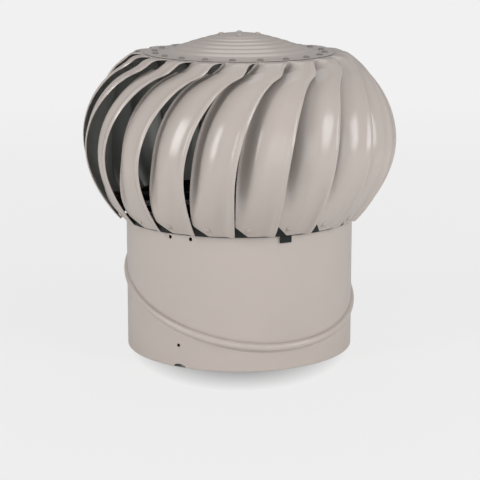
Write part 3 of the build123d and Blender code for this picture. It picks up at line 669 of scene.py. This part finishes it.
def rivets(name, node, seats, directions, grips, finish):
    """All rivets of one kind as a single piece: a profile turned about each rivet's own axis.
    seats are the points under the heads, directions point out of them, and grips are the
    thicknesses that the rivets hold."""
    turn = np.linspace(0.0, 2 * np.pi, 17)
    turned = []
    for seat, direction, grip in zip(seats, directions, grips):
        end = -grip - RIVET_TAIL_HEIGHT
        profile = np.array([
            (0.0, end), (RIVET_TAIL * 0.8, end), (RIVET_TAIL, end + 0.4), (RIVET_TAIL, -grip),
            (RIVET_SHANK, -grip), (RIVET_SHANK, 0.0), (RIVET_HEAD - 0.1, 0.0), (RIVET_HEAD, 0.25),
            (RIVET_HEAD - 0.25, 0.55), (RIVET_HEAD * 0.8, RIVET_DOME * 0.55),
            (RIVET_HEAD * 0.55, RIVET_DOME * 0.86), (1.35, RIVET_DOME), (1.0, RIVET_DOME - 0.1),
            (0.9, RIVET_DOME - 0.5), (0.0, RIVET_DOME - 0.45)])
        up = Vector(direction).normalized()
        side = up.orthogonal().normalized()
        third = up.cross(side)
        ring = np.multiply.outer(np.cos(turn), side) + np.multiply.outer(np.sin(turn), third)
        local = profile[:, 0, None, None] * ring[None] + profile[:, 1, None, None] * np.array(up)
        turned.append(grid(np.array(seat) + local))
    piece = mesh_piece(name, *joined(turned), [finish], crease=50.0)
    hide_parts(node)
    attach(piece, "turbine_head")


rivet_paint = coil_coated_steel("painted_rivet_steel", "#BDB4AB", "#A9A19A", 0.30)
# The rim rivets are a darker grey than the others, so that their heads show as dark marks along the
# cap's rim.
darker_rivet = coil_coated_steel("darker_grey_rivet_steel", "#8D8883", "#77736E", 0.45)
blade_edges = np.radians(FIRST_EDGE + BLADE_PITCH * np.arange(BLADE_COUNT))

foot_turn = blade_edges - np.radians(FOOT_RIVET_LEAD)
foot_lean = outline_lean(np.array(FOOT_RIVET_HEIGHT))
foot_directions = at(np.cos(foot_lean), foot_turn, np.sin(foot_lean))
foot_places = at(foot_seat(FOOT_RIVET_HEIGHT), foot_turn, FOOT_RIVET_HEIGHT)
foot_seats = foot_places + RIVET_GAP * foot_directions
foot_grip = ring_face + RING_SHEET + 2 * RIVET_GAP
has_arm = np.arange(BLADE_COUNT) % ARM_EVERY == 0
foot_grips = np.where(has_arm, foot_grip + ARM_GAP + ARM_SHEET, foot_grip)
rivets("foot_rivets", "blade_rivets", foot_seats, foot_directions, foot_grips, rivet_paint)

upright = np.array([0.0, 0.0, 1.0])
rim_seats = at(CAP_RIVET_RADIUS, blade_edges + np.radians(CAP_RIVET_LEAD), cap_rim_top + RIVET_GAP)
rim_grips = np.full(BLADE_COUNT, CAP_SHEET + BLADE_SHEET + 2 * RIVET_GAP)
rivets("rim_rivets", "cap_rivets", rim_seats, [upright] * BLADE_COUNT, rim_grips, darker_rivet)

cup_turn = np.radians(np.arange(CUP_RIVET_COUNT) * 360 / CUP_RIVET_COUNT)
cup_lean = np.pi / 2 - np.arctan(cap_slope)
cup_directions = at(np.cos(cup_lean), cup_turn, np.sin(cup_lean))
cup_places = at(CUP_RIVET_RADIUS, cup_turn, cap_height(CUP_RIVET_RADIUS)[0])
cup_seats = cup_places + RIVET_GAP * cup_directions
cup_grips = np.full(CUP_RIVET_COUNT, CAP_SHEET + CUP_GAP + CUP_WALL + 2 * RIVET_GAP)
rivets("bearing_cup_rivets", "cup_rivets", cup_seats, cup_directions, cup_grips, rivet_paint)

hub_turn = foot_turn[::ARM_EVERY]
hub_top = HUB_FLANGE_BOTTOM + CUP_WALL + ARM_SHEET
hub_seats = at(HUB_RIVET_RADIUS, hub_turn, hub_top + RIVET_GAP)
hub_grips = np.full(len(hub_turn), CUP_WALL + ARM_SHEET + 2 * RIVET_GAP)
rivets("arm_rivets", "hub_rivets", hub_seats, [upright] * len(hub_turn), hub_grips, zinc_plate)

# --- Floor, lights and camera -------------------------------------------------------------------
# Wide flat floor of pale paper under a pale sky, with tall soft boxes at the left and right, a
# wide one in front and a weak one high behind.

FLOOR_REACH = 12000.0
# In metres: the throat's outside, and where the painted shadow on the paper at the throat's foot
# starts and ends in front of it.  The painted shadow is narrower from side to side by the factor.
THROAT_OUTSIDE = 0.149
PAINTED_SHADOW_START, PAINTED_SHADOW_END, PAINTED_SHADOW_NARROWING = 0.152, 0.228, 1.55
# In metres: where the paper starts to show only its own light, and where it shows no other.
FAR_START, FAR_END = 0.3, 2.5
HEAD_MIDDLE = Vector((0.0, 0.0, 0.25))

ends = np.array([-FLOOR_REACH, FLOOR_REACH])
floor_points = np.stack(np.broadcast_arrays(ends[None, :], ends[:, None], 0.0), axis=-1)
paper, tree = finish_material("matt_floor_paper")
place = add_node(tree, "ShaderNodeTexCoord").outputs["Object"]
# Slow change of the paper's shade over about 300 mm.
fibre = add_node(tree, "ShaderNodeTexNoise", inputs={"Vector": place, "Scale": 3.0, "Detail": 1.0})
paper_colour = add_node(tree, "ShaderNodeMix", {"data_type": "RGBA"}, {
    0: fibre.outputs["Fac"], 6: linear("#E9E9E9"), 7: linear("#E6E6E6")})
lit = add_node(tree, "ShaderNodeBsdfDiffuse", inputs={"Color": paper_colour.outputs[2]})
ray = add_node(tree, "ShaderNodeLightPath")
rays = add_node(tree, "ShaderNodeMath", {"operation": "MAXIMUM"}, {
    0: ray.outputs["Is Camera Ray"], 1: ray.outputs["Is Transmission Ray"]})
# To the camera the paper shows mostly its own pale light, but none inside the throat.
reach = add_node(tree, "ShaderNodeVectorMath", {"operation": "LENGTH"}, {0: place})
outside = add_node(tree, "ShaderNodeMath", {"operation": "GREATER_THAN"}, {
    0: reach.outputs["Value"], 1: THROAT_OUTSIDE})
open_rays = add_node(tree, "ShaderNodeMath", {"operation": "MULTIPLY"}, {
    0: rays.outputs[0], 1: outside.outputs[0]})
narrow = add_node(tree, "ShaderNodeVectorMath", {"operation": "MULTIPLY"}, {
    0: place, 1: (PAINTED_SHADOW_NARROWING, 1.0, 1.0)})
front = add_node(tree, "ShaderNodeVectorMath", {"operation": "LENGTH"}, {
    0: narrow.outputs["Vector"]})
near = add_node(tree, "ShaderNodeMapRange", inputs={
    "Value": front.outputs["Value"], "From Min": PAINTED_SHADOW_START, "From Max": PAINTED_SHADOW_END})
far = add_node(tree, "ShaderNodeMapRange", inputs={
    "Value": reach.outputs["Value"], "From Min": FAR_START, "From Max": FAR_END, "To Min": 0.86})
# Painted shadow: the paper's own light is mid grey at the throat's foot and pale further out.
painted_shadow_colour = add_node(tree, "ShaderNodeMix", {"data_type": "RGBA"}, {
    0: near.outputs[0], 6: linear("#A0A0A0"), 7: linear("#F1F1F1")})
seen = add_node(tree, "ShaderNodeEmission", inputs={"Color": painted_shadow_colour.outputs[2]})
own_share = add_node(tree, "ShaderNodeMath", {"operation": "MULTIPLY"}, {
    0: open_rays.outputs[0], 1: far.outputs[0]})
blend = add_node(tree, "ShaderNodeMixShader", inputs={
    0: own_share.outputs[0], 1: lit.outputs[0], 2: seen.outputs[0]})
add_node(tree, "ShaderNodeOutputMaterial", inputs={"Surface": blend.outputs[0]})
floor = mesh_piece("paper_floor", *grid(floor_points), [paper])

world = bpy.data.worlds.new("studio")
world.use_nodes = True
tree = world.node_tree
tree.nodes.clear()
sky = add_node(tree, "ShaderNodeBackground", inputs={"Color": linear("#F4F4F6"), "Strength": 0.36})
seen_sky = add_node(tree, "ShaderNodeBackground", inputs={"Color": linear("#EDEDED")})
ray = add_node(tree, "ShaderNodeLightPath")
blend = add_node(tree, "ShaderNodeMixShader", inputs={
    0: ray.outputs["Is Camera Ray"], 1: sky.outputs[0], 2: seen_sky.outputs[0]})
add_node(tree, "ShaderNodeOutputWorld", inputs={"Surface": blend.outputs[0]})
bpy.context.scene.world = world


def soft_box(name, azimuth, elevation, distance, width, height, power):
    """Rectangular soft box that faces the head's middle, from a distance in metres."""
    lamp = bpy.data.lights.new(name, "AREA")
    lamp.shape = "RECTANGLE"
    lamp.size, lamp.size_y, lamp.energy = width, height, power
    box = bpy.data.objects.new(name, lamp)
    bpy.context.scene.collection.objects.link(box)
    turn, rise = np.radians(azimuth), np.radians(elevation)
    away = Vector((np.sin(turn) * np.cos(rise), -np.cos(turn) * np.cos(rise), np.sin(rise)))
    box.location = HEAD_MIDDLE + away * distance
    box.rotation_euler = away.to_track_quat("Z", "Y").to_euler()
    box.visible_camera = False


soft_box("left_soft_box", -56.0, 18.0, 2.4, 0.6, 1.4, 24.0)
soft_box("right_soft_box", 60.0, 20.0, 2.4, 1.0, 1.4, 26.0)
soft_box("front_soft_box", 4.0, 10.0, 3.2, 2.4, 2.0, 23.0)
soft_box("back_soft_box", 180.0, 62.0, 2.2, 1.2, 1.2, 6.0)

camera_data = bpy.data.cameras.new("camera")
camera_data.lens = 122.4
camera_data.sensor_width = 36.0
camera_data.shift_x = 0.0015
camera_data.shift_y = -0.0892
camera = bpy.data.objects.new("camera", camera_data)
camera.location = (0.0, -2.134, 0.611)
camera.rotation_euler = (np.radians(79.0), 0.0, 0.0)
bpy.context.scene.collection.objects.link(camera)
bpy.context.scene.camera = camera
bpy.context.scene.view_settings.view_transform = "Standard"
